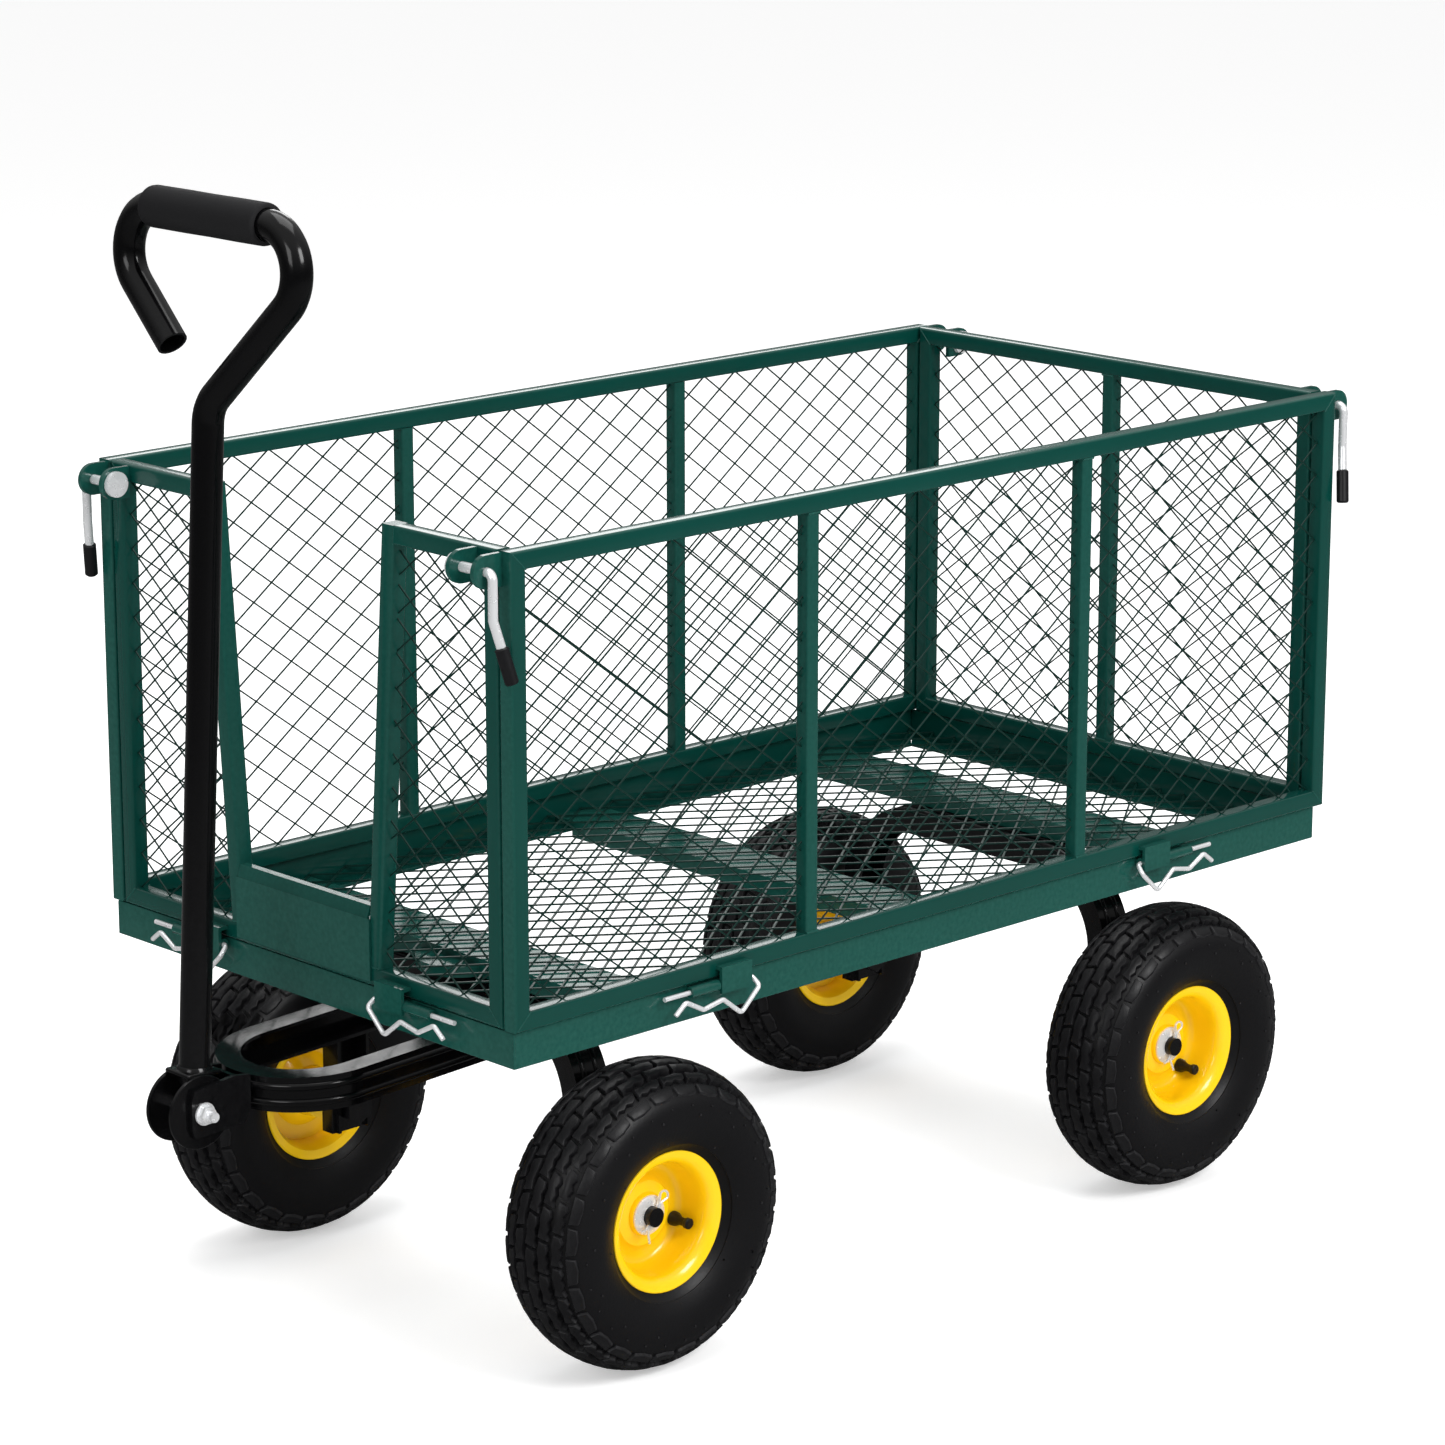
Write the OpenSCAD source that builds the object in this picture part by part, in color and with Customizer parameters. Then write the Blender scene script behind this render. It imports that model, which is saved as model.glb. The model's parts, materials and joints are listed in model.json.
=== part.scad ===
// Garden cart with folding mesh sides, a turning front axle and a swinging pull handle.
// Millimetres. +Z up, the handle end faces -Y, the ground is z = 0.

/* [Bed] */
// length of the bed over its rails
bed_len = 950; // [900:5:1000]
// width of the bed over its rails
bed_w = 500; // [480:2:520]
// height of the underside of the bed rails above the ground
bed_z = 291; // [288:1:300]
// height of the bed rails
rail_h = 29; // [27:1:34]
// width of the cross beams
beam_w = 52; // [40:1:70]

/* [Panels] */
// height of the top edge of the panels above the ground
panel_top = 695; // [660:5:740]
// outside size of the square panel tube
tube = 15; // [12:1:16]
// distance of the side panels' outer faces from the middle plane
side_out = 255; // [254:0.5:256]
// long diagonal of a mesh diamond, drawn twice as coarse as the real mesh; whole cells are fitted
cell_long = 78; // [60:1:90]
// short diagonal of a mesh diamond, drawn twice as coarse as the real mesh
cell_short = 58; // [50:1:70]
// width of the notch for the handle at the top of the front panel
notch_top = 210; // [190:2:230]
// width of the notch at its foot
notch_foot = 164; // [150:2:180]
// height of the folded plate at the foot of the notch
plate_h = 60; // [40:1:80]

/* [Wheels] */
// diameter of the tyres
tyre_d = 254; // [240:1:256]
// width of the tyres
tyre_w = 85; // [80:1:86]
// distance of the tyres' middle planes from the cart's middle plane
wheel_x = 218.5; // [217:0.5:222]
// distance of each axle from the middle of the bed
axle_y = 313.5; // [300:0.5:320]

/* [Steering and handle] */
// radius of the yoke's nose
yoke_r = 72; // [68:1:76]
// distance of the handle's pivot from the middle of the bed
pivot_y = 596; // [590:1:610]
// height of the handle's pivot above the ground
pivot_z = 228; // [224:1:232]
// height of the middle of the grip above the pivot, along the handle
grip_h = 700; // [600:5:760]
// backward lean of the handle in degrees
lean = 3.4; // [0:0.1:6]
// outside diameter of the handle tube
handle_d = 25; // [22:0.5:26]

/* [View] */
// which sub-part to draw

/* [Hidden] */
gap = 0.03;                       // half the gap between neighbouring solids of one frame
tube_wall = 1.5;
strand = 2;                       // width and thickness of the mesh strands
rim_strip = 1.5;                  // narrow border of a mesh sheet
hinge_z = bed_z + 25;             // height of the panels' hinge axes
hinge_out = 7;                    // hinge axis outside the rail
panel_z = bed_z + 30.2;           // underside of the panels
panel_h = panel_top - panel_z;
panel_front = -bed_len / 2 - 2;   // outer face of the front panel
panel_rear = bed_len / 2 + 8;     // outer face of the rear panel
panel_len = panel_rear - panel_front;
end_half = side_out - tube - 2;   // half width of the front and rear panels
wire_r = 2;                       // hairpin wire
leg_out = 7.5;                    // hairpin's wavy leg outside its straight leg
hook_near = 5.5;                  // bracket's near edge from the hairpin's loop
hook_w = 33;
sleeve_w = 30;
side_loop = 229;                  // hairpin loops of the side panels from the middle
end_loop = 93;                    // and of the front and rear panels
latch_out = 15;                   // latch pins ahead of the panel faces
latch_z = panel_top - 14;
latch_r = 4;
ear_r = 13;
ear_t = 4;
ear_in = 213;                     // inner ears' near faces from the middle plane
ear_side = side_out - 14;         // outer ears' near faces
lever_x = side_out - 3.5;         // levers' hanging rods
wheel_r = tyre_d / 2;
rim_r = 57;
axle_r = 8;
arch_w = 34;
arch_top = bed_z - 8;
arch_x = 163;                     // outer face of the arches' legs
arch_r = 83;
fork_r = 30;
fork_in = handle_d / 2 + 0.5;     // inner faces of the fork discs
fork_t = 3;
clevis_in = fork_in + fork_t + 0.3;
loop_r = 35;                      // bends of the handle's loop
loop_a = 47.3;                    // its slanted stretches, from the vertical
front_end = -(pivot_y + fork_r);
rear_end = panel_rear + latch_out + ear_r;
bed_y = -(front_end + rear_end) / 2;

green = [0.05, 0.22, 0.18];
yellow = [0.96, 0.70, 0.08];
black = [0.04, 0.04, 0.04];
rubber = [0.07, 0.07, 0.07];
zinc = [0.82, 0.83, 0.84];

// ---- shared helpers -------------------------------------------------------------------

// everything is drawn about the middle of the bed and moved so that the whole is centred
module placed(c) { color(c) translate([0, bed_y, 0]) children(); }
module both_sides() { children(); mirror([1, 0, 0]) children(); }
module both_ends() { children(); mirror([0, 1, 0]) children(); }
module along_x(r, x0, x1, n = 48) { translate([x0, 0, 0]) rotate([0, 90, 0]) cylinder(r = r, h = x1 - x0, $fn = n); }
module along_y(r, y0, y1, n = 48) { translate([0, y0, 0]) rotate([-90, 0, 0]) cylinder(r = r, h = y1 - y0, $fn = n); }

// a round rod from a to b
module rod(a, b, r) {
    d = b - a;
    l = norm(d);
    translate(a) rotate([0, acos(d[2] / l), atan2(d[1], d[0])]) cylinder(r = r, h = l, $fn = 24);
}
function unit(v) = v / norm(v);
// a wire through points, its corners rounded, drawn as stretches and bends a hair apart
module wire(points, r, bend) {
    n = len(points);
    dir = [for (i = [0 : n - 2]) unit(points[i + 1] - points[i])];
    half = [for (i = [1 : n - 2]) acos(dir[i - 1] * dir[i]) / 2];
    cut = concat([0], [for (h = half) bend * tan(h)], [0]);
    for (i = [0 : n - 2])
        rod(points[i] + dir[i] * (cut[i] + gap), points[i + 1] - dir[i] * (cut[i + 1] + gap), r);
    for (i = [1 : n - 2]) {
        c = points[i] + unit(dir[i] - dir[i - 1]) * bend / cos(half[i - 1]);
        x = unit(points[i] - dir[i - 1] * cut[i] - c);
        y = dir[i - 1];
        z = cross(x, y);
        multmatrix([[x[0], y[0], z[0], c[0]], [x[1], y[1], z[1], c[1]], [x[2], y[2], z[2], c[2]], [0, 0, 0, 1]])
            rotate_extrude(angle = 2 * half[i - 1], $fn = 64) translate([bend, 0]) circle(r = r, $fn = 24);
    }
}

// a square tube along X from 0 to l, its ends mitred towards +Y or cut square
module square_tube(l, mitre0 = true, mitre1 = true, t = tube) {
    m0 = mitre0 ? t : 0;
    m1 = mitre1 ? t : 0;
    difference() {
        linear_extrude(t) polygon([[gap, 0], [l - gap, 0], [l - m1 - gap, t], [m0 + gap, t]]);
        translate([-1, tube_wall, tube_wall]) cube([l + 2, t - 2 * tube_wall, t - 2 * tube_wall]);
    }
}
// four mitred tubes around w x h, as separate solids
module ring(w, h) {
    square_tube(w);
    translate([w, h, 0]) rotate([0, 0, 180]) square_tube(w);
    translate([0, h, 0]) rotate([0, 0, -90]) square_tube(h);
    translate([w, 0, 0]) rotate([0, 0, 90]) square_tube(h);
}
// an upright post between the rails of a ring
module post(x, h, t = 13) {
    translate([x + t / 2, tube + gap, (tube - t) / 2]) rotate([0, 0, 90])
        square_tube(h - 2 * tube - 2 * gap, false, false, t);
}

// a sheet of diamond mesh, w x h, whole cells fitted, lw and lh the diamonds' diagonals
function diamond(i, j, nx, ny, a, b, fa, fb) =
    let (cx = i * a, cy = j * b, s = i == 0 ? 1 : -1, q = j == 0 ? 1 : -1,
         e = rim_strip, ka = 1 - e / fa, kb = 1 - e / fb,
         side = i == 0 || i == 2 * nx, end = j == 0 || j == 2 * ny)
    side && end ? [[cx + s * e, cy + q * e], [cx + s * fa * kb, cy + q * e], [cx + s * e, cy + q * fb * ka]]
    : side ? [[cx + s * e, cy - fb * ka], [cx + s * fa, cy], [cx + s * e, cy + fb * ka]]
    : end ? [[cx - fa * kb, cy + q * e], [cx, cy + q * fb], [cx + fa * kb, cy + q * e]]
    : [[cx + fa, cy], [cx, cy + fb], [cx - fa, cy], [cx, cy - fb]];
module mesh_outline(w, h, lw, lh) {
    nx = round(w / lw);
    ny = round(h / lh);
    a = w / nx / 2;
    b = h / ny / 2;
    k = 1 - strand / 2 * sqrt(a * a + b * b) / (a * b);
    difference() {
        square([w, h]);
        for (j = [0 : 2 * ny]) for (i = [0 : 2 * nx]) if ((i + j) % 2 == 0)
            polygon(diamond(i, j, nx, ny, a, b, a * k, b * k));
    }
}

// stand a drawing (u across, v up, w thick) in a panel's place
module as_side() { translate([side_out - tube, panel_front, panel_z]) rotate([90, 0, 90]) children(); }
module as_front() { translate([-end_half, panel_front + tube, panel_z]) rotate([90, 0, 0]) children(); }
module as_rear() { translate([-end_half, panel_rear, panel_z]) rotate([90, 0, 0]) children(); }

// ---- hinges and latches ---------------------------------------------------------------
// Each hinge is drawn along +X from the hairpin's loop at 0, the outside of the cart at -Y
// and the hinge axis at the origin.

module at_side_hinge(s) {
    translate([bed_w / 2 + hinge_out, s * side_loop, hinge_z]) mirror([0, s > 0 ? 0 : 1, 0])
        rotate([0, 0, 90]) children();
}
module at_end_hinge(s) {
    translate([0, s * (bed_len / 2 + hinge_out), hinge_z]) mirror([0, s < 0 ? 0 : 1, 0])
        translate([end_loop, 0, 0]) children();
}
module sleeve() {
    translate([hook_near + hook_w + 0.5, 0, 0]) difference() {
        union() {
            along_x(4.5, 0, sleeve_w);
            translate([4, 2.5, -3]) cube([sleeve_w - 8, hinge_out - 2.5, 6]);
        }
        along_x(wire_r + 0.08, -1, sleeve_w + 1);
    }
}
// bracket on a panel whose outer face lies at y = face
module hook(face) {
    translate([hook_near, 0, 0]) difference() {
        union() {
            along_x(4.7, 0, hook_w);
            translate([0, -5, -6.6]) cube([hook_w, 2.8, 21.6]);
            translate([0, -5, 12]) cube([hook_w, 5 + face, 3]);
        }
        along_x(wire_r + 0.08, -1, hook_w + 1);
    }
}
module hairpin() {
    wire([[96, 0, 0], [2, 0, 0], [0, -leg_out, -7], [20, -leg_out, -25.5], [40, -leg_out, -10],
          [61, -leg_out, -14], [80, -leg_out, -4], [91, -leg_out, -12.5]], wire_r, 4);
}

// latch parts are drawn at the front right corner, the pin's axis at the origin of Y and Z
module at_latch() { translate([0, panel_front - latch_out, latch_z]) children(); }
module at_rear_latch() { translate([0, panel_rear + latch_out, latch_z]) mirror([0, 1, 0]) children(); }
module ear(x) {
    difference() {
        union() {
            along_x(ear_r, x, x + ear_t);
            translate([x, 0, -ear_r]) cube([ear_t, latch_out, 2 * ear_r]);
        }
        along_x(latch_r + 0.1, x - 1, x + ear_t + 1);
    }
}
module latch_pin() {
    along_x(10.5, ear_in - 4.3, ear_in - 0.3);
    along_x(latch_r, ear_in - 0.3, ear_side - 0.4);
}
lever_kink = [lever_x, 0, -36];
lever_end = [lever_x + 10, 9.5, -84];
module lever() {
    wire([[ear_side, 0, 0], [lever_x, 0, 0], lever_kink, lever_kink + (lever_end - lever_kink) * 0.9],
         latch_r, 6);
    // tab in front of the bend
    translate([lever_x - 5.5, -3, 0]) rotate([90, 0, 0]) intersection() {
        translate([9, -2, 0]) cylinder(r = 15, h = 4.5, $fn = 48);
        translate([-1, -14, 0]) cube([10, 22, 4.5]);
    }
}
module tip() {
    d = lever_end - lever_kink;
    difference() {
        rod(lever_kink + d * 0.42, lever_end, 5.3);
        rod(lever_kink + d * 0.3, lever_kink + d * 0.91, latch_r + 0.05);
    }
}

// ---- bed ------------------------------------------------------------------------------

module rail_plan(l, w) {
    // outer plate and inward bottom flange of an angle rail along X, outside at y = 0
    cube([l, 3, rail_h]);
    translate([w, 0, 0]) cube([l - 2 * w, 25, 3]);
}
module bed_rails() {
    placed(green) translate([0, 0, bed_z]) {
        both_ends() translate([-bed_w / 2, -bed_len / 2, 0]) rail_plan(bed_w, 0);
        both_sides() translate([bed_w / 2, -bed_len / 2 + 3 + gap, 0]) rotate([0, 0, 90])
            rail_plan(bed_len - 6 - 2 * gap, 22 + gap);
    }
}
module beam(y) {
    l = bed_w - 6 - 2 * gap;
    translate([-l / 2, y - beam_w / 2, bed_z + 3 + gap]) cube([l, beam_w, 7 - gap]);
    for (s = [0, beam_w - 3]) translate([-bed_w / 2 + 26, y - beam_w / 2 + s, bed_z - 5.5])
        cube([bed_w - 52, 3, 10]);
}
module bed_beams() {
    placed(green) difference() {
        union() {
            for (y = [-axle_y + 14, 36, axle_y + 30]) beam(y);
            translate([0, -axle_y, arch_top + 2.5]) cylinder(r = 38, h = 9, $fn = 64);
        }
        translate([0, -axle_y, arch_top - 1]) cylinder(r = axle_r + 0.08, h = 12, $fn = 48);
    }
}
module bed_floor() {
    w = bed_w - 7;
    l = bed_len - 7;
    placed(green) translate([-w / 2, -l / 2, bed_z + 10.2]) linear_extrude(strand)
        mesh_outline(w, l, cell_short, cell_long);
}
module hinge_sleeves() {
    placed(green) {
        both_sides() for (s = [-1, 1]) at_side_hinge(s) sleeve();
        both_sides() for (s = [-1, 1]) at_end_hinge(s) sleeve();
    }
}

// ---- running gear ---------------------------------------------------------------------

module channel_profile(w, d, bead_r, bead_at) {
    // web along X at y = 0, flanges towards -Y, beads on the web's outside
    difference() {
        union() {
            translate([-w / 2, -d]) square([w, d]);
            for (s = [-1, 1]) translate([s * bead_at, -bead_r * 0.3]) circle(r = bead_r, $fn = 24);
        }
        translate([-w / 2 + 3, -d - 1]) square([w - 6, d - 2]);
    }
}
module arch_profile() { channel_profile(arch_w, 20, 2.8, 7); }
module arch() {
    c = arch_x - arch_r;
    leg = arch_top - arch_r - 106;
    difference() {
        union() {
            translate([-c, 0, arch_top]) rotate([90, 0, 90]) linear_extrude(2 * c) arch_profile();
            both_sides() {
                translate([c, 0, arch_top - arch_r]) rotate([90, 0, 0]) rotate_extrude(angle = 90, $fn = 96)
                    translate([arch_r, 0]) rotate(-90) arch_profile();
                translate([arch_x, 0, 106]) rotate([0, 0, -90]) linear_extrude(leg) arch_profile();
                translate([arch_x - 16, -arch_w / 2 - 4, 106]) cube([13.5, arch_w + 8, 27]);
            }
        }
        translate([0, 0, wheel_r]) along_x(axle_r + 0.02, -arch_x - 5, arch_x + 5);
    }
}
module hexagon(af, h) { cylinder(d = af / cos(30), h = h, $fn = 6); }
module stub_axle() {
    translate([0, 0, wheel_r]) {
        along_x(axle_r, arch_x - 18, wheel_x + 16);
        translate([arch_x - 28, 0, 0]) rotate([0, 90, 0]) hexagon(24, 11.9);
    }
}
module axle_end() {
    x = wheel_x + 6.2;
    translate([0, 0, wheel_r]) {
        difference() {
            along_x(16.5, x, x + 2);
            along_x(axle_r + 0.1, x - 1, x + 3);
        }
        // cotter pin beyond the washer, split legs down and its eye up
        difference() {
            translate([x + 5, 0, axle_r + 4]) rotate([90, 0, 0]) translate([0, 0, -1.2]) cylinder(r = 4, h = 2.4, $fn = 24);
            translate([x + 5, 3, axle_r + 4]) rotate([90, 0, 0]) cylinder(r = 2, h = 6, $fn = 24);
        }
        translate([x + 5, 0, axle_r + 0.05]) cylinder(r = 1.2, h = 1, $fn = 16);
        translate([x + 5, 0, -axle_r - 8.05]) cylinder(r = 1.2, h = 8, $fn = 16);
    }
}
module rear_arch() { placed(black) translate([0, axle_y, 0]) { arch(); rear_pads(); } }
module rear_pads() { both_sides() translate([30, 8, arch_top - 0.5]) cube([40, 9, 11.5]); }
module rear_axles() { placed(black) translate([0, axle_y, 0]) both_sides() stub_axle(); }
module rear_axle_ends() { placed(zinc) translate([0, axle_y, 0]) both_sides() axle_end(); }
module front_arch() {
    placed(black) translate([0, -axle_y, 0]) difference() {
        arch();
        translate([0, 0, arch_top - 30]) cylinder(r = axle_r + 0.02, h = 40, $fn = 48);
    }
}
module front_axles() { placed(black) translate([0, -axle_y, 0]) both_sides() stub_axle(); }
module front_axle_ends() { placed(zinc) translate([0, -axle_y, 0]) both_sides() axle_end(); }

yoke_h = 29;
yoke_back = axle_y - arch_w / 2 + 6;
yoke_mid = pivot_y - 47 - yoke_r;   // middle of the nose's bend, ahead of the bed's middle
module yoke_profile() {
    // the channel stands up at x = yoke_r, web outside, beads on it
    translate([yoke_r, yoke_h / 2]) rotate(-90) channel_profile(yoke_h, 20, 3.2, 6.5);
}
module yoke() {
    placed(black) difference() {
        union() {
            translate([0, -yoke_mid, pivot_z - 5.5]) rotate([2.4, 0, 0]) {
                rotate([0, 0, 180]) rotate_extrude(angle = 180, $fn = 128) yoke_profile();
                both_sides() rotate([90, 0, 0]) translate([0, 0, -(yoke_mid - yoke_back)])
                    linear_extrude(yoke_mid - yoke_back) yoke_profile();
            }
            // feet up to the arch's flanges
            both_sides() translate([yoke_r - 20, -axle_y - arch_w / 2, pivot_z + 27]) cube([18, arch_w, 14]);
        }
        translate([-arch_x, -axle_y - arch_w / 2 - 0.02, arch_top - 20.02]) cube([2 * arch_x, arch_w + 0.04, 60]);
    }
}
module clevis() {
    placed(black) translate([0, -pivot_y, pivot_z]) difference() {
        union() {
            both_sides() translate([clevis_in, 0, 0]) rotate([90, 0, 90]) linear_extrude(4)
                polygon([[-9, 20], [-12, 12], [-12, -12], [-9, -19], [39, -17], [46, -6], [46, 22], [30, 24]]);
            // back plate that closes on the yoke's nose
            translate([-clevis_in, 37, -12]) cube([2 * clevis_in, 4, 32]);
        }
        along_x(6.02, -60, 60);
        // the nose of the yoke
        translate([0, pivot_y - yoke_mid, -40]) cylinder(r = yoke_r + 2.4, h = 100, $fn = 128);
    }
}
module pivot_bolts() {
    placed(zinc) {
        translate([0, -pivot_y, pivot_z]) {
            along_x(6, -clevis_in - 8, clevis_in + 13);
            translate([clevis_in + 4, 0, 0]) rotate([0, 90, 0]) hexagon(17, 8);
            translate([-clevis_in - 11, 0, 0]) rotate([0, 90, 0]) hexagon(17, 7);
        }
        // kingpin, fast in the arch and turning in the boss under the bed
        translate([0, -axle_y, arch_top - 12]) {
            cylinder(r = axle_r, h = 22, $fn = 48);
            translate([0, 0, -2]) hexagon(24, 10.9);
        }
    }
}

// ---- wheels ---------------------------------------------------------------------------

// half outline of the tyre, a swollen curve: from the crown (0) to the bead (1)
function swell(t, w, h, n) = [w * pow(sin(90 * t), 2 / n), h * pow(cos(90 * t), 2 / n)];
function casing(w, crown, foot, n, steps) =
    let (half = [for (k = [0 : steps]) let (p = swell(k / steps, w, crown - foot, n)) [foot + p[1], p[0]]])
    concat([for (k = [steps : -1 : 1]) [half[k][0], -half[k][1]]], half);
module tyre() {
    belly = wheel_r - 36;
    w = tyre_w / 2;
    rotate([0, 90, 0]) rotate_extrude($fn = 128) difference() {
        polygon(concat(casing(w, wheel_r, belly, 2.1, 12),
            [[78, w - 0.6], [66, 36], [rim_r + 3, 29.6], [rim_r + 0.5, 27.2], [51, 25], [51, -25],
             [rim_r + 0.5, -27.2], [rim_r + 3, -29.6], [66, -36], [78, 0.6 - w]]));
        polygon(concat(casing(w - 7, wheel_r - 10, belly, 2.1, 8),
            [[80, w - 7.6], [68, 28], [58, 18], [50, 18], [50, -18], [58, -18], [68, -28], [80, 7.6 - w]]));
    }
}
module rim() {
    rotate([0, 90, 0]) rotate_extrude($fn = 96) polygon([
        [axle_r + 0.08, 6], [17, 6], [18, 3], [27, 1.5], [31, -3], [42, -4], [45.5, 2], [46, 20], [50, 28],
        [57, 30.5], [58, 28.5], [57.2, 28], [51, 26], [48.5, 20], [48.5, -20], [51, -26], [57.2, -28],
        [58, -28.5], [57, -30.5], [50, -28], [46, -20], [45.5, -8], [33, -7], [27, -12], [22, -15],
        [20, -34], [axle_r + 0.08, -34]]);
}
module valve() {
    translate([-4.2, 0, 39]) rotate([0, 90, 0]) {
        cylinder(r = 5, h = 6, $fn = 32);
        translate([0, 0, 6]) cylinder(r = 3, h = 12, $fn = 32);
        translate([0, 0, 15]) cylinder(r = 4.2, h = 9, $fn = 32);
    }
}
module rim_with_seat() { difference() { rim(); translate([-12, 0, 39]) along_x(5.02, 0, 30); } }
// x and y are the wheel's side and end, turn is how far it has rolled
module at_wheel(x, y, turn) {
    translate([x * wheel_x, y * axle_y, wheel_r]) mirror([x > 0 ? 0 : 1, 0, 0]) rotate([turn, 0, 0]) children();
}
fr = [1, -1, -112];
fl = [-1, -1, 60];
rr = [1, 1, -135];
rl = [-1, 1, 20];
module tyre_fr() { placed(rubber) at_wheel(fr[0], fr[1], fr[2]) tyre(); }
module rim_fr() { placed(yellow) at_wheel(fr[0], fr[1], fr[2]) rim_with_seat(); }
module valve_fr() { placed(black) at_wheel(fr[0], fr[1], fr[2]) valve(); }
module tyre_fl() { placed(rubber) at_wheel(fl[0], fl[1], fl[2]) tyre(); }
module rim_fl() { placed(yellow) at_wheel(fl[0], fl[1], fl[2]) rim_with_seat(); }
module valve_fl() { placed(black) at_wheel(fl[0], fl[1], fl[2]) valve(); }
module tyre_rr() { placed(rubber) at_wheel(rr[0], rr[1], rr[2]) tyre(); }
module rim_rr() { placed(yellow) at_wheel(rr[0], rr[1], rr[2]) rim_with_seat(); }
module valve_rr() { placed(black) at_wheel(rr[0], rr[1], rr[2]) valve(); }
module tyre_rl() { placed(rubber) at_wheel(rl[0], rl[1], rl[2]) tyre(); }
module rim_rl() { placed(yellow) at_wheel(rl[0], rl[1], rl[2]) rim_with_seat(); }
module valve_rl() { placed(black) at_wheel(rl[0], rl[1], rl[2]) valve(); }

// ---- handle ---------------------------------------------------------------------------
// drawn upright about the pivot, the tube's own axis 5 mm behind it, then leant back

module at_handle() { placed(black) translate([0, -pivot_y, pivot_z]) rotate([-lean, 0, 0]) children(); }
module tube_ring() {
    difference() {
        circle(d = handle_d, $fn = 48);
        circle(d = handle_d - 4, $fn = 48);
    }
}
// stretches of the tube a hair apart, straight up from 0 to l or bent in the XZ plane
module tube_up(l) { translate([0, 0, gap]) linear_extrude(l - 2 * gap) tube_ring(); }
module tube_bend(r, a0, sweep) {
    rotate([90, 0, 0]) rotate([0, 0, a0]) rotate_extrude(angle = sweep, $fn = 96) translate([r, 0]) tube_ring();
}
module handle_tube() {
    ca = cos(loop_a);
    sa = sin(loop_a);
    cz = grip_h - loop_r;             // height of the loop's bend middles
    cx = 68;                          // and their distance from the middle plane
    knee_r = 30;
    // lower end of the right bend, where the slanted stretch starts
    ex = cx + loop_r * ca;
    ez = cz - loop_r * sa;
    slant = (ex - knee_r * (1 - ca)) / sa;
    knee_z = ez - slant * ca - knee_r * sa;
    at_handle() translate([0, 5, 0]) {
        translate([0, 0, fork_r + 2]) tube_up(knee_z - fork_r - 2);
        translate([knee_r, 0, knee_z]) tube_bend(knee_r, 180 - loop_a, loop_a);
        translate([ex, 0, ez]) rotate([0, loop_a + 180, 0]) tube_up(slant);
        translate([cx, 0, cz]) tube_bend(loop_r, -loop_a, loop_a + 90);
        translate([-cx, 0, grip_h]) rotate([0, 90, 0]) tube_up(2 * cx);
        translate([-cx, 0, cz]) tube_bend(loop_r, 90, loop_a + 90);
        translate([-ex, 0, ez]) rotate([0, 180 - loop_a, 0]) tube_up(62);
    }
}
module handle_fork() {
    at_handle() difference() {
        union() {
            both_sides() along_x(fork_r, fork_in, fork_in + fork_t, 96);
            // saddle over the two discs
            translate([-fork_in - fork_t, -12, fork_r - 3]) cube([2 * (fork_in + fork_t), 32, 5]);
            both_sides() translate([fork_in, -12, 12]) cube([fork_t, 32, fork_r - 12]);
        }
        along_x(6.08, -40, 40);
    }
}
module handle_grip() {
    color([0.13, 0.13, 0.13]) translate([0, bed_y - pivot_y, pivot_z]) rotate([-lean, 0, 0])
        translate([-68, 5, grip_h]) rotate([0, 90, 0]) difference() {
            cylinder(d = 33, h = 135, $fn = 64);
            translate([0, 0, -1]) cylinder(d = handle_d + 0.2, h = 137, $fn = 48);
        }
}

// ---- panels ---------------------------------------------------------------------------

module side_frame() {
    as_side() {
        ring(panel_len, panel_h);
        for (y = [-160, 161]) post(y - panel_front, panel_h);
    }
}
module side_mesh() {
    as_side() translate([tube + gap, tube + gap, tube / 2 - strand / 2]) difference() {
        linear_extrude(strand) mesh_outline(panel_len - 2 * tube - 2 * gap, panel_h - 2 * tube - 2 * gap,
                                            cell_long, cell_short);
        for (y = [-160, 161]) translate([y - panel_front - tube - gap - 6.6, -1, -1]) cube([13.2, panel_h, strand + 2]);
    }
}
module side_fittings() {
    for (s = [-1, 1]) at_side_hinge(s) hook(bed_w / 2 + hinge_out - side_out);
    at_latch() ear(ear_side);
    at_rear_latch() ear(ear_side);
}
module right_frame() { placed(green) side_frame(); }
module right_mesh() { placed(green) side_mesh(); }
module right_fittings() { placed(green) side_fittings(); }
module left_frame() { placed(green) mirror([1, 0, 0]) side_frame(); }
module left_mesh() { placed(green) mirror([1, 0, 0]) side_mesh(); }
module left_fittings() { placed(green) mirror([1, 0, 0]) side_fittings(); }

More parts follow.
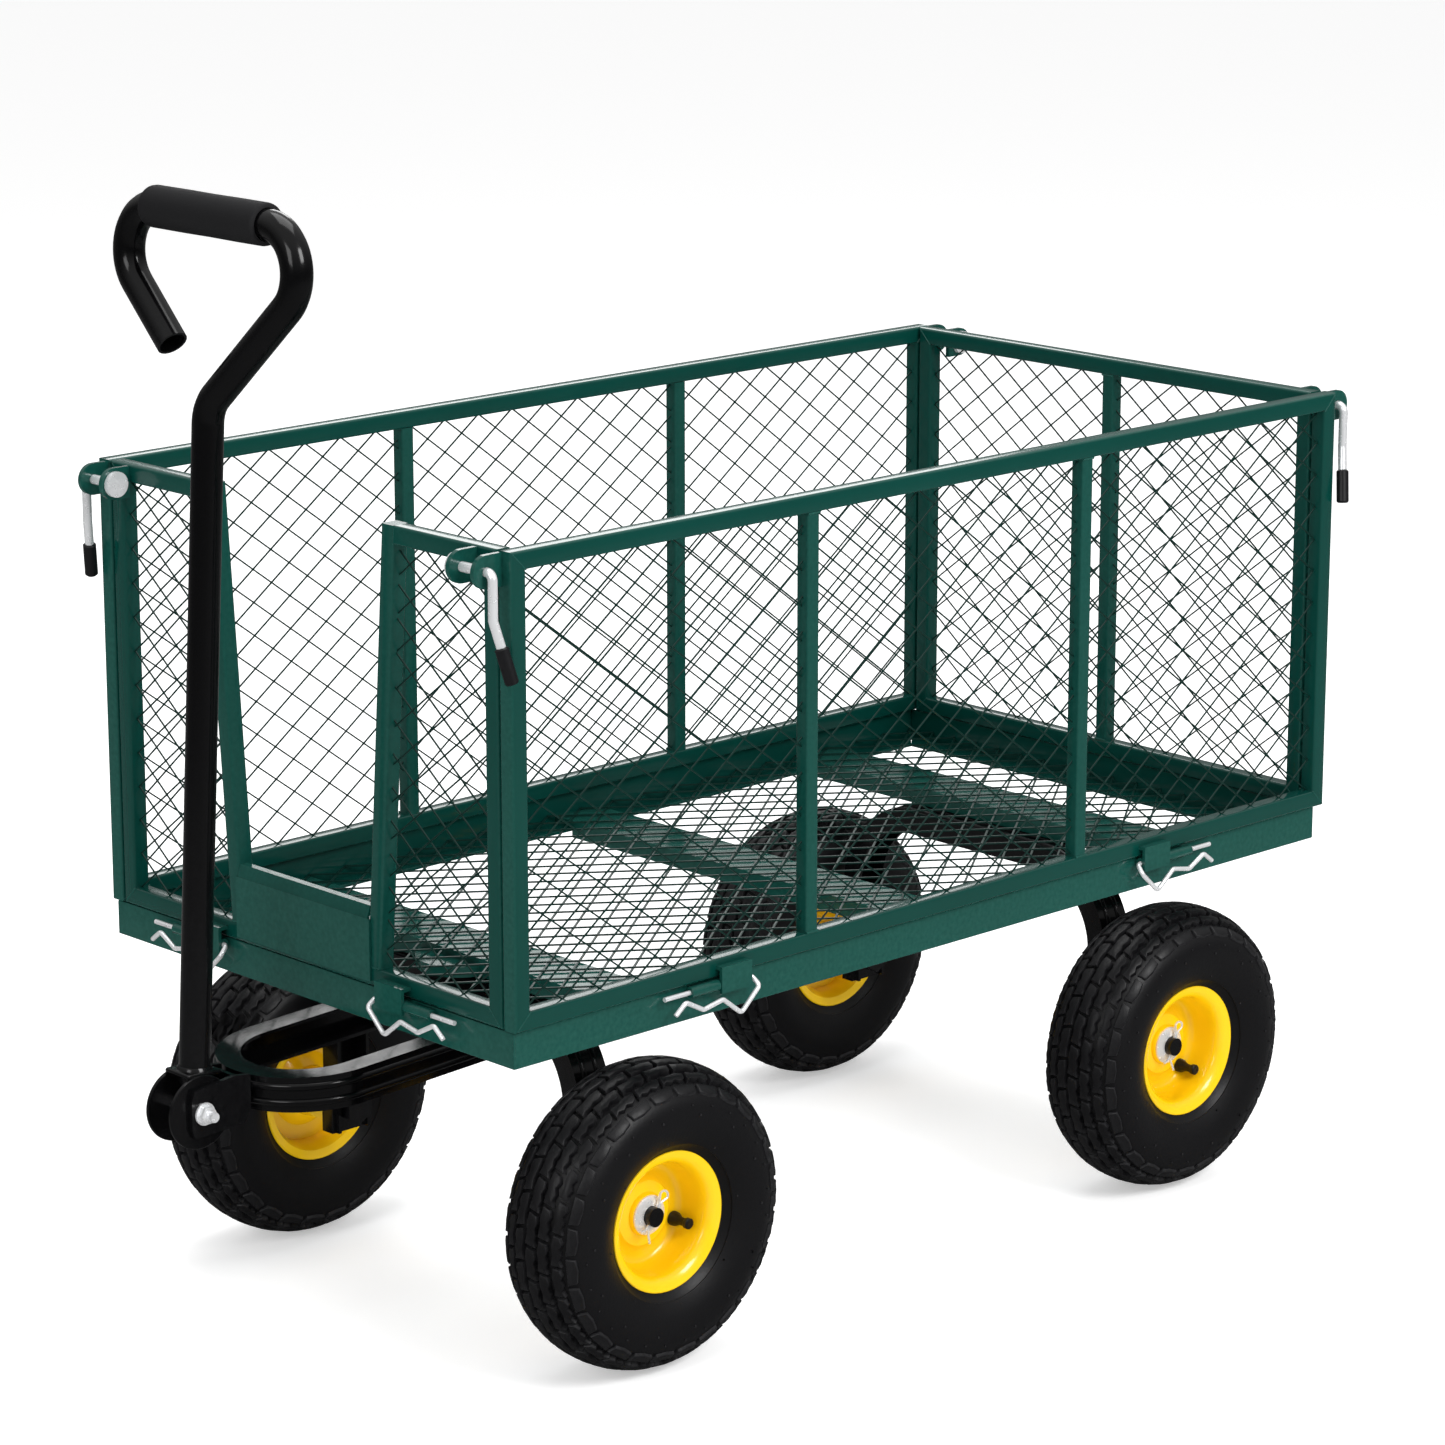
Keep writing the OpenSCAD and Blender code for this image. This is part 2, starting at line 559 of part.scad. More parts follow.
// outline of the front panel's right half: notch side slanted
notch_slope = (notch_top - notch_foot) / 2 / (panel_h - plate_h);
function notch_x(z) = notch_foot / 2 + (z - plate_h) * notch_slope;   // z above the panel's foot
module slanted(x_off, w) {
    // a band of width w beside the notch, from the bottom rail to the top rail
    polygon([[notch_x(tube) + x_off, tube + gap], [notch_x(tube) + x_off + w, tube + gap],
             [notch_x(panel_h) + x_off + w, panel_h], [notch_x(panel_h) + x_off, panel_h]]);
}
module front_frame() {
    w = end_half;
    top_l = w - notch_x(panel_h) - tube;
    placed(green) {
        // bottom rail, then each half's post, short top rail and slanted bar
        as_front() square_tube(2 * w);
        both_sides() as_front() translate([w, 0, 0]) {
            translate([w, 0, 0]) rotate([0, 0, 90]) square_tube(panel_h);
            translate([w, panel_h, 0]) rotate([0, 0, 180]) square_tube(top_l + tube - 0.5, true, false);
            difference() {
                linear_extrude(tube) slanted(0, tube);
                translate([0, 0, tube_wall]) linear_extrude(tube - 2 * tube_wall) slanted(tube_wall, tube - 2 * tube_wall);
            }
        }
    }
}
module front_mesh() {
    in = end_half - tube - gap;
    placed(green) both_sides() as_front() translate([end_half, 0, tube / 2 - strand / 2]) linear_extrude(strand)
        intersection() {
            translate([0, tube + gap]) mesh_outline(in, panel_h - 2 * tube - 2 * gap, cell_long, cell_short);
            polygon([[notch_x(tube) + tube + gap, 0], [in + 1, 0], [in + 1, panel_h - tube - gap],
                     [notch_x(panel_h - tube) + tube + gap, panel_h - tube - gap]]);
        }
}
module front_fittings() {
    placed(green) both_sides() {
        at_end_hinge(-1) hook(bed_len / 2 + hinge_out + panel_front);
        at_latch() ear(ear_in);
    }
}
module notch_plate() {
    // sheet on the bars' front faces, its narrower top lip bent towards the load
    w = notch_foot / 2 + 2;
    v = notch_foot / 2 - 0.4;
    placed(green) translate([0, panel_front - 2.3, panel_z + 4]) rotate([90, 0, 90]) {
        translate([0, 0, -w]) linear_extrude(2 * w) square([2, plate_h - 9]);
        translate([0, 0, -v]) linear_extrude(2 * v)
            polygon([[0, plate_h - 10], [2, plate_h - 10], [5, plate_h - 1], [10, plate_h - 1],
                     [10, plate_h + 1], [3.6, plate_h + 1]]);
    }
}
module front_pins() { placed(zinc) both_sides() at_latch() latch_pin(); }
module rear_frame() {
    placed(green) as_rear() {
        ring(2 * end_half, panel_h);
        post(end_half, panel_h);
    }
}
module rear_mesh() {
    w = 2 * (end_half - tube - gap);
    placed(green) as_rear() translate([tube + gap, tube + gap, tube / 2 - strand / 2]) difference() {
        linear_extrude(strand) mesh_outline(w, panel_h - 2 * tube - 2 * gap, cell_long, cell_short);
        translate([w / 2 - 6.6, -1, -1]) cube([13.2, panel_h, strand + 2]);
    }
}
module rear_fittings() {
    placed(green) both_sides() {
        at_end_hinge(1) hook(bed_len / 2 + hinge_out - panel_rear);
        at_rear_latch() ear(ear_in);
    }
}
module rear_pins() { placed(zinc) both_sides() at_rear_latch() latch_pin(); }

module lever_fr() { placed(zinc) at_latch() lever(); }
module tip_fr() { placed(rubber) at_latch() tip(); }
module lever_fl() { placed(zinc) mirror([1, 0, 0]) at_latch() lever(); }
module tip_fl() { placed(rubber) mirror([1, 0, 0]) at_latch() tip(); }
module lever_rr() { placed(zinc) at_rear_latch() lever(); }
module tip_rr() { placed(rubber) at_rear_latch() tip(); }
module lever_rl() { placed(zinc) mirror([1, 0, 0]) at_rear_latch() lever(); }
module tip_rl() { placed(rubber) mirror([1, 0, 0]) at_rear_latch() tip(); }

module hairpin_right_front() { placed(zinc) at_side_hinge(-1) hairpin(); }
module hairpin_right_rear() { placed(zinc) at_side_hinge(1) hairpin(); }
module hairpin_left_front() { placed(zinc) mirror([1, 0, 0]) at_side_hinge(-1) hairpin(); }
module hairpin_left_rear() { placed(zinc) mirror([1, 0, 0]) at_side_hinge(1) hairpin(); }
module hairpin_front_right() { placed(zinc) at_end_hinge(-1) hairpin(); }
module hairpin_front_left() { placed(zinc) mirror([1, 0, 0]) at_end_hinge(-1) hairpin(); }
module hairpin_rear_right() { placed(zinc) at_end_hinge(1) hairpin(); }
module hairpin_rear_left() { placed(zinc) mirror([1, 0, 0]) at_end_hinge(1) hairpin(); }

bed_rails();
bed_beams();
bed_floor();
hinge_sleeves();
rear_arch();
rear_axles();
rear_axle_ends();
front_arch();
front_axles();
front_axle_ends();
yoke();
clevis();
pivot_bolts();
handle_tube();
handle_fork();
handle_grip();
tyre_fr();
rim_fr();
valve_fr();
tyre_fl();
rim_fl();
valve_fl();
tyre_rr();
rim_rr();
valve_rr();
tyre_rl();
rim_rl();
valve_rl();
right_frame();
right_mesh();
right_fittings();
left_frame();
left_mesh();
left_fittings();
front_frame();
front_mesh();
front_fittings();
notch_plate();
front_pins();
rear_frame();
rear_mesh();
rear_fittings();
rear_pins();
lever_fr();
tip_fr();
lever_fl();
tip_fl();
lever_rr();
tip_rr();
lever_rl();
tip_rl();
hairpin_right_front();
hairpin_right_rear();
hairpin_left_front();
hairpin_left_rear();
hairpin_front_right();
hairpin_front_left();
hairpin_rear_right();
hairpin_rear_left();
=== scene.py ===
import json
import math

import bmesh
import bpy
from mathutils import Matrix, Vector


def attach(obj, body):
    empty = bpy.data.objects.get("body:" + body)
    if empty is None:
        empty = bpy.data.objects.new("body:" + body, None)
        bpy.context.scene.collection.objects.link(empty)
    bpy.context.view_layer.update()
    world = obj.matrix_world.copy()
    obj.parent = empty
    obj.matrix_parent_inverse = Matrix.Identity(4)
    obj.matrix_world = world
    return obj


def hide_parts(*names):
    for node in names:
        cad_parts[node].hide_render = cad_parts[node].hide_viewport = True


# Looks for the garden cart. Metres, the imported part's frame: +Z up, the handle end faces -Y.
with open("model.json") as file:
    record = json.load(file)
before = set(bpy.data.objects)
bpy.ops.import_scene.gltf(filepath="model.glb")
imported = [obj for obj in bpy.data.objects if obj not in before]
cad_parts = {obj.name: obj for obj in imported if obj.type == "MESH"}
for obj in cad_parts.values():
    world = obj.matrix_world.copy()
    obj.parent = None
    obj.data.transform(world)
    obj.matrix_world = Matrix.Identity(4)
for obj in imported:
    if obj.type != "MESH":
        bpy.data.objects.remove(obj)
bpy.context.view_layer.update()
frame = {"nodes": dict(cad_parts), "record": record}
bpy.ops.object.select_all(action="DESELECT")

BED_Y = 0.0575            # middle of the bed
BED = (0.250, 0.475)      # half width and half length over the rails
PANEL_Z, PANEL_TOP = 0.3212, 0.695
TUBE, TUBE_ROUND = 0.015, 0.0021
WELD = 0.0011             # radius of the weld beads on the frames
FRONT_Y, REAR_Y = BED_Y - 0.477, BED_Y + 0.483
SIDE_X, END_X = 0.255, 0.238
AXLE_Y, WHEEL_X, WHEEL_Z = 0.3135, 0.2185, 0.127
# front panel's notch: half widths at its foot and top, and the height of the plate at its foot
NOTCH_FOOT, NOTCH_TOP, PLATE_H = 0.082, 0.105, 0.060
NOTCH_SLOPE = (NOTCH_TOP - NOTCH_FOOT) / (PANEL_TOP - PANEL_Z - PLATE_H)
NOTCH_X = NOTCH_FOOT - NOTCH_SLOPE * (PLATE_H - TUBE)      # the bars' inner side on the bottom rail
HINGE_Z, LATCH_Z = 0.316, 0.681      # heights of the panels' hinge wires and of the latch pins
PIVOT = Vector((0, BED_Y - 0.596, 0.228))
LEAN = math.radians(3.4)


# ---- materials ------------------------------------------------------------------------

def surface_group():
    """Colour and roughness variation, fine bump and a painted highlight along sharp edges, shared by every
    material.
    """
    g = bpy.data.node_groups.new("surface_and_edge_highlight", "ShaderNodeTree")
    for name, kind, value in (("Colour", "NodeSocketColor", (0.5, 0.5, 0.5, 1)),
                              ("Shade", "NodeSocketColor", (0.4, 0.4, 0.4, 1)),
                              ("Edge", "NodeSocketColor", (0.6, 0.6, 0.6, 1)),
                              ("Edge Amount", "NodeSocketFloat", 0.3),
                              ("Roughness", "NodeSocketFloat", 0.4), ("Spread", "NodeSocketFloat", 0.1),
                              ("Scale", "NodeSocketFloat", 40.0), ("Bump", "NodeSocketFloat", 0.1),
                              ("Height", "NodeSocketFloat", 0.0005)):
        s = g.interface.new_socket(name, in_out="INPUT", socket_type=kind)
        s.default_value = value
    for name, kind in (("Colour", "NodeSocketColor"), ("Roughness", "NodeSocketFloat"),
                       ("Normal", "NodeSocketVector")):
        g.interface.new_socket(name, in_out="OUTPUT", socket_type=kind)
    n, link = g.nodes, g.links.new
    gi, go = n.new("NodeGroupInput"), n.new("NodeGroupOutput")
    co = n.new("ShaderNodeTexCoord")
    broad = n.new("ShaderNodeTexNoise")
    broad.inputs["Scale"].default_value = 7
    broad.inputs["Detail"].default_value = 3
    fine = n.new("ShaderNodeTexNoise")
    fine.inputs["Detail"].default_value = 4
    link(co.outputs["Object"], broad.inputs["Vector"])
    link(co.outputs["Object"], fine.inputs["Vector"])
    link(gi.outputs["Scale"], fine.inputs["Scale"])
    tone = n.new("ShaderNodeMix")
    tone.data_type = "RGBA"
    link(broad.outputs["Fac"], tone.inputs["Factor"])
    link(gi.outputs["Colour"], tone.inputs["A"])
    link(gi.outputs["Shade"], tone.inputs["B"])
    # painted highlight: the Edge colour is laid on sharp convex edges, where pointiness is high, speckled by
    # fine noise
    geo = n.new("ShaderNodeNewGeometry")
    ramp = n.new("ShaderNodeMapRange")
    for k, v in (("From Min", 0.54), ("From Max", 0.64)):
        ramp.inputs[k].default_value = v
    link(geo.outputs["Pointiness"], ramp.inputs["Value"])
    speck = n.new("ShaderNodeMath")
    speck.operation = "MULTIPLY"
    link(ramp.outputs["Result"], speck.inputs[0])
    link(fine.outputs["Fac"], speck.inputs[1])
    much = n.new("ShaderNodeMath")
    much.operation = "MULTIPLY"
    link(speck.outputs["Value"], much.inputs[0])
    link(gi.outputs["Edge Amount"], much.inputs[1])
    edge_highlight = n.new("ShaderNodeMix")
    edge_highlight.data_type = "RGBA"
    link(much.outputs["Value"], edge_highlight.inputs["Factor"])
    link(tone.outputs["Result"], edge_highlight.inputs["A"])
    link(gi.outputs["Edge"], edge_highlight.inputs["B"])
    link(edge_highlight.outputs["Result"], go.inputs["Colour"])
    off = n.new("ShaderNodeMath")
    off.operation = "SUBTRACT"
    off.inputs[1].default_value = 0.5
    link(fine.outputs["Fac"], off.inputs[0])
    rough = n.new("ShaderNodeMath")
    rough.operation = "MULTIPLY_ADD"
    rough.use_clamp = True
    link(off.outputs["Value"], rough.inputs[0])
    link(gi.outputs["Spread"], rough.inputs[1])
    link(gi.outputs["Roughness"], rough.inputs[2])
    link(rough.outputs["Value"], go.inputs["Roughness"])
    bump = n.new("ShaderNodeBump")
    link(gi.outputs["Bump"], bump.inputs["Strength"])
    link(gi.outputs["Height"], bump.inputs["Distance"])
    link(fine.outputs["Fac"], bump.inputs["Height"])
    link(bump.outputs["Normal"], go.inputs["Normal"])
    return g


SURFACE = surface_group()


def material(name, colour, shade, edge, edge_amount, rough, spread, scale, bump,
             metallic=0.0, specular=0.5, coat=0.0, height=0.0005):
    m = bpy.data.materials.new(name)
    m.use_nodes = True
    n, link = m.node_tree.nodes, m.node_tree.links.new
    b = n["Principled BSDF"]
    s = n.new("ShaderNodeGroup")
    s.node_tree = SURFACE
    for k, v in (("Colour", (*colour, 1)), ("Shade", (*shade, 1)), ("Edge", (*edge, 1)),
                 ("Edge Amount", edge_amount), ("Roughness", rough), ("Spread", spread),
                 ("Scale", scale), ("Bump", bump), ("Height", height)):
        s.inputs[k].default_value = v
    link(s.outputs["Colour"], b.inputs["Base Color"])
    link(s.outputs["Roughness"], b.inputs["Roughness"])
    link(s.outputs["Normal"], b.inputs["Normal"])
    b.inputs["Metallic"].default_value = metallic
    b.inputs["Specular IOR Level"].default_value = specular
    b.inputs["Coat Weight"].default_value = coat
    b.inputs["Coat Roughness"].default_value = 0.08
    m.diffuse_color = (*colour, 1)
    return m


# the third colour of each material is its painted edge highlight, laid on by the shared surface group
GREEN = material("green_paint", (0.0016, 0.047, 0.037), (0.0012, 0.036, 0.028), (0.03, 0.15, 0.12),
                 0.35, 0.16, 0.08, 260, 0.04, specular=0.30, coat=0.20)
MESH = material("mesh_paint", (0.0018, 0.022, 0.017), (0.0012, 0.016, 0.012), (0.02, 0.06, 0.05),
                0.1, 0.35, 0.10, 300, 0.05, specular=0.22)
BLACK = material("black_paint", (0.0015, 0.0015, 0.0018), (0.001, 0.001, 0.0012), (0.03, 0.03, 0.032),
                 0.25, 0.16, 0.08, 240, 0.03, specular=0.22, coat=0.10)
ZINC = material("zinc_plate", (0.93, 0.94, 0.95), (0.84, 0.85, 0.87), (0.97, 0.97, 0.97),
                0.1, 0.26, 0.10, 320, 0.03, metallic=0.55)
YELLOW = material("yellow_paint", (0.94, 0.60, 0.004), (0.90, 0.54, 0.003), (0.98, 0.75, 0.10),
                  0.12, 0.20, 0.08, 160, 0.03, specular=0.4, coat=0.3)
TYRE = material("tyre_rubber", (0.0052, 0.0050, 0.0058), (0.0033, 0.0033, 0.0040), (0.05, 0.05, 0.053),
                0.6, 0.40, 0.16, 420, 0.25, specular=0.22)
RUBBER = material("black_rubber", (0.004, 0.004, 0.005), (0.003, 0.003, 0.004), (0.04, 0.04, 0.04),
                  0.3, 0.36, 0.12, 300, 0.12, specular=0.3)
FOAM = material("foam", (0.011, 0.011, 0.012), (0.008, 0.008, 0.009), (0.04, 0.04, 0.042),
                0.3, 0.70, 0.12, 900, 0.45, specular=0.15, height=0.0004)

CAD_LOOK = {"green_paint": GREEN, "black_paint": BLACK, "zinc_plate": ZINC, "yellow_rim": YELLOW,
            "tyre_rubber": TYRE, "black_rubber": RUBBER, "foam_grip": FOAM}
for part in frame["record"]["subparts"]:
    node = frame["nodes"][part["node"]]
    node.data.materials.clear()
    node.data.materials.append(CAD_LOOK[part["material_slot"]])


# ---- modelling helpers ----------------------------------------------------------------

def finish_piece(o, name, look, body, stands_for=(), smooth=40):
    """Names a finished mesh, gives it its material and lets it ride on its body."""
    bpy.ops.object.select_all(action="DESELECT")
    o.select_set(True)
    bpy.context.view_layer.objects.active = o
    bpy.ops.object.transform_apply(location=True, rotation=True, scale=True)
    if smooth:
        bpy.ops.object.shade_smooth_by_angle(angle=math.radians(smooth))
    o.name = o.data.name = name
    o.data.materials.clear()
    o.data.materials.append(look)
    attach(o, body)
    if stands_for:
        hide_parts(*stands_for)
    return o


def place(o, matrix):
    """Puts a piece that was modelled about the origin in its place, in its mesh."""
    o.data.transform(matrix)
    if matrix.determinant() < 0:
        o.data.flip_normals()
    o.data.update()
    return o


def join(objects):
    bpy.ops.object.select_all(action="DESELECT")
    for o in objects:
        o.select_set(True)
    bpy.context.view_layer.objects.active = objects[0]
    bpy.ops.object.join()
    return bpy.context.view_layer.objects.active


def copy_of(o):
    c = o.copy()
    c.data = o.data.copy()
    bpy.context.scene.collection.objects.link(c)
    return c


def spun(points, steps, name):
    """A closed outline of (along X, radius) points spun round the X axis."""
    me = bpy.data.meshes.new(name)
    n = len(points)
    me.from_pydata([(x, 0, r) for x, r in points], [(i, (i + 1) % n) for i in range(n)], [])
    o = bpy.data.objects.new(name, me)
    bpy.context.scene.collection.objects.link(o)
    bpy.ops.object.select_all(action="DESELECT")
    o.select_set(True)
    bpy.context.view_layer.objects.active = o
    bpy.ops.object.mode_set(mode="EDIT")
    bpy.ops.mesh.select_all(action="SELECT")
    bpy.ops.mesh.spin(steps=steps, angle=2 * math.pi, center=(0, 0, 0), axis=(1, 0, 0))
    bpy.ops.mesh.select_all(action="SELECT")
    bpy.ops.mesh.remove_doubles(threshold=1e-5)
    bpy.ops.mesh.normals_make_consistent(inside=False)
    bpy.ops.object.mode_set(mode="OBJECT")
    return o


def wire(points, radius, bend, name, sides=16, arc=8, hollow=0.0):
    """A bent rod or tube: corners rounded to the bend radius, then swept and turned into a mesh."""
    pts = [Vector(p) for p in points]
    path = [pts[0]]
    for a, b, c in zip(pts, pts[1:], pts[2:]):
        u, w = (b - a).normalized(), (c - b).normalized()
        half = u.angle(w) / 2
        if half < 0.01:
            path.append(b)
            continue
        cut = bend * math.tan(half)
        mid = b + (w - u).normalized() * bend / math.cos(half)
        start = b - u * cut - mid
        axis = u.cross(w).normalized()
        for k in range(arc + 1):
            path.append(mid + Matrix.Rotation(2 * half * k / arc, 3, axis) @ start)
    path.append(pts[-1])
    cu = bpy.data.curves.new(name, "CURVE")
    cu.dimensions = "3D"
    sp = cu.splines.new("POLY")
    sp.points.add(len(path) - 1)
    for q, p in zip(sp.points, path):
        q.co = (*p, 1)
    cu.bevel_depth = radius
    cu.bevel_resolution = sides // 4
    cu.use_fill_caps = not hollow
    o = bpy.data.objects.new(name, cu)
    bpy.context.scene.collection.objects.link(o)
    bpy.ops.object.select_all(action="DESELECT")
    o.select_set(True)
    bpy.context.view_layer.objects.active = o
    bpy.ops.object.convert(target="MESH")
    if hollow:
        wall = o.modifiers.new("wall", "SOLIDIFY")
        wall.thickness = hollow
        wall.offset = -1
        bpy.ops.object.modifier_apply(modifier=wall.name)
    return o


def lathe_end(radius, length, edge, steps=32):
    """A short round bar along X from 0, its rims bevelled."""
    return spun([(0, 0.0002), (0, radius - edge), (edge, radius), (length - edge, radius),
                 (length, radius - edge), (length, 0.0002)], steps, "bar")


# ---- wheels ---------------------------------------------------------------------------

def swell(t, w, h, n=2.1):
    return w * math.sin(t * math.pi / 2) ** (2 / n), h * math.cos(t * math.pi / 2) ** (2 / n)


CROWN, BELLY, HALF = 0.1225, 0.091, 0.0425


def casing():
    right = []
    for k in range(17):
        x, r = swell(k / 16, HALF, CROWN - BELLY)
        right.append((x, BELLY + r))
    right += [(0.0424, 0.086), (0.0415, 0.080), (0.0392, 0.073), (0.0362, 0.0668), (0.0352, 0.0650),
              (0.0342, 0.0652), (0.0330, 0.0640), (0.0300, 0.0600), (0.0285, 0.0575), (0.0262, 0.0512)]
    outline = [(-x, r) for x, r in reversed(right)] + right[1:]
    inner = [(0.022, 0.052), (0.030, 0.075), (0.034, 0.092), (0.025, 0.108), (0.0, 0.113)]
    outline += inner + [(-x, r) for x, r in reversed(inner[:-1])]
    return spun(outline, 96, "casing")


def lug(points, depth, name):
    """One tread block: its outline as (x, angle) on the casing, raised by depth and bevelled."""
    def on(x, a, up):
        t = min(abs(x) / HALF, 0.999)
        k = math.asin(t ** 1.05) / (math.pi / 2)
        r = BELLY + swell(k, HALF, CROWN - BELLY)[1]
        nx = (abs(x) / HALF) ** 2.2 * 0.9
        out = Vector((math.copysign(nx, x), math.sqrt(max(0, 1 - nx * nx)))) * up
        rr = r + out.y
        return (x + out.x, rr * math.sin(a), rr * math.cos(a))
    me = bpy.data.meshes.new(name)
    n = len(points)
    base = [on(x, a, -0.001) for x, a in points]
    me.from_pydata(base, [], [tuple(range(n))])
    o = bpy.data.objects.new(name, me)
    bpy.context.scene.collection.objects.link(o)
    bpy.ops.object.select_all(action="DESELECT")
    o.select_set(True)
    bpy.context.view_layer.objects.active = o
    bpy.ops.object.mode_set(mode="EDIT")
    bpy.ops.mesh.select_all(action="SELECT")
    bpy.ops.mesh.extrude_region_move(TRANSFORM_OT_translate={"value": (0, 0, 0)})
    bpy.ops.object.mode_set(mode="OBJECT")
    # the raised face follows the casing's swell
    top = [v for v in me.vertices if v.select]
    raised = [on(x * 0.985, a, depth) for x, a in points]
    places = {tuple(round(c, 6) for c in p): q for p, q in zip(base, raised)}
    for v in top:
        v.co = places.get(tuple(round(c, 6) for c in v.co), v.co)
    bpy.ops.object.mode_set(mode="EDIT")
    bpy.ops.mesh.bevel(offset=0.0007, segments=2, affect="EDGES")
    bpy.ops.mesh.select_all(action="SELECT")
    bpy.ops.mesh.normals_make_consistent(inside=False)
    bpy.ops.object.mode_set(mode="OBJECT")
    return o


def ringed(o, count):
    """Copies of the mesh all round the X axis."""
    bpy.ops.object.select_all(action="DESELECT")
    o.select_set(True)
    bpy.context.view_layer.objects.active = o
    bpy.ops.object.mode_set(mode="EDIT")
    bpy.ops.mesh.select_all(action="SELECT")
    bpy.ops.mesh.spin(steps=count, angle=2 * math.pi, center=(0, 0, 0), axis=(1, 0, 0), dupli=True)
    bpy.ops.object.mode_set(mode="OBJECT")
    return o


def wave(x, a0, a1, amp, n):
    """A zigzag side of a block at x, from angle a0 to a1."""
    return [(x + (amp if k % 2 else -amp), a0 + (a1 - a0) * k / n) for k in range(n + 1)]


def nubs(x, r, angle, count, size):
    bpy.ops.mesh.primitive_cylinder_add(vertices=8, radius=size, depth=0.0018, rotation=(0, math.pi / 2, 0),
                                        location=(x, r * math.sin(angle), r * math.cos(angle)))
    bpy.ops.object.transform_apply(location=True, rotation=True, scale=True)
    return ringed(bpy.context.view_layer.objects.active, count)


def tread():
    """Three staggered rows of blocks each side, split by zigzag sipes, and short shoulder blocks."""
    count = 28
    step = 2 * math.pi / count
    s = step / 2
    g = 0.0125
    parts = []
    for side, shift in ((1, 0.0), (-1, 0.5)):
        a = shift * step
        # each row's inner and outer edge, its stagger and its height
        rows = ((0.0013, 0.0112, 0.0, 0.0044), (0.0136, 0.0217, 0.55, 0.0044), (0.0246, 0.0312, 1.05, 0.0042))
        for x0, x1, slip, depth in rows:
            b = a + slip * s
            block = [(side * x, y) for x, y in wave(x0 + 0.0006, b - s + g, b + s - g, 0.0006, 3)]
            far = wave(x1 - 0.0006, b + s - g - 0.016, b - s + g - 0.016, 0.0008, 5)
            block += [(side * x, y) for x, y in far]
            parts.append(ringed(lug(block, depth, "block"), count))
        b = a + 1.6 * s
        shoulder = [(side * 0.0334, b - s + g), (side * 0.0382, b - s + g * 1.7), (side * 0.0390, b),
                    (side * 0.0382, b + s - g * 1.9), (side * 0.0334, b + s - g)]
        parts.append(ringed(lug(shoulder, 0.0026, "shoulder"), count))
    # moulding nubs on the flank
    parts.append(nubs(0.0424, 0.0905, 0.10, 14, 0.0010))
    parts.append(nubs(0.0417, 0.0985, 0.22, 28, 0.0007))
    parts.append(nubs(0.0368, 0.0690, 0.30, 8, 0.0008))
    return join(parts)


def rim_dish():
    """Hub, pressed dish and both bead flanges as one spun outline."""
    front = [(0.0, 0.0083), (0.0065, 0.0083), (0.0065, 0.0165), (0.0055, 0.0175), (0.0030, 0.0180),
             (0.0020, 0.0225), (0.0010, 0.0268), (-0.0015, 0.0290), (-0.0030, 0.0312), (-0.0045, 0.0350),
             (-0.0050, 0.0395), (-0.0035, 0.0425), (0.0000, 0.0445), (0.0060, 0.0458), (0.0140, 0.0462)]
    outer_flange = [(0.0200, 0.0465), (0.0245, 0.0480), (0.0270, 0.0505), (0.0288, 0.0535),
                    (0.0298, 0.0560), (0.0304, 0.0572), (0.0300, 0.0581), (0.0288, 0.0584),
                    (0.0282, 0.0572), (0.0255, 0.0515), (0.0200, 0.0485)]
    inner_flange = [(-0.0200, 0.0485), (-0.0255, 0.0515), (-0.0282, 0.0572), (-0.0295, 0.0582),
                    (-0.0305, 0.0572), (-0.0280, 0.0505), (-0.0200, 0.0462)]
    back = [(-0.0080, 0.0456), (-0.0070, 0.0330), (-0.0120, 0.0270), (-0.0150, 0.0220),
            (-0.0340, 0.0200), (-0.0340, 0.0083)]
    return spun(front + outer_flange + inner_flange + back, 96, "dish")


def valve_stem():
    o = spun([(-0.004, 0.0002), (-0.004, 0.0058), (-0.0035, 0.0062), (0.0005, 0.0058), (0.0035, 0.0042),
              (0.0060, 0.0034), (0.0115, 0.0033), (0.0118, 0.0043), (0.0125, 0.0046), (0.0155, 0.0046),
              (0.0162, 0.0040), (0.0165, 0.0022), (0.0160, 0.0002)], 24, "stem")
    return place(o, Matrix.Translation((0, 0, -0.039)))


def wheels():
    tyre = join([casing(), tread()])
    dish = rim_dish()
    stem = valve_stem()
    # side, end and how far each wheel has rolled, in degrees
    for tag, sx, sy, turn in (("fr", 1, -1, -112), ("fl", -1, -1, 60), ("rr", 1, 1, -135), ("rl", -1, 1, 20)):
        m = Matrix.Translation((sx * WHEEL_X, BED_Y + sy * AXLE_Y, WHEEL_Z))
        m = m @ Matrix.Scale(sx, 4, (1, 0, 0)) @ Matrix.Rotation(math.radians(turn), 4, "X")
        up = Matrix.Translation((0, 0, 0.078))
        for src, kind, look, slot in ((tyre, "tyre", TYRE, "tyre_rubber"),
                                      (dish, "rim", YELLOW, "yellow_rim"),
                                      (stem, "valve", RUBBER, "black_rubber")):
            o = place(copy_of(src), m @ up if kind == "valve" else m)
            node = "%s_%s" % (kind, tag)
            finish_piece(o, node + "_look", look, "wheel_" + tag, (node,), 35)
    for src in (tyre, dish, stem):
        bpy.data.objects.remove(src)


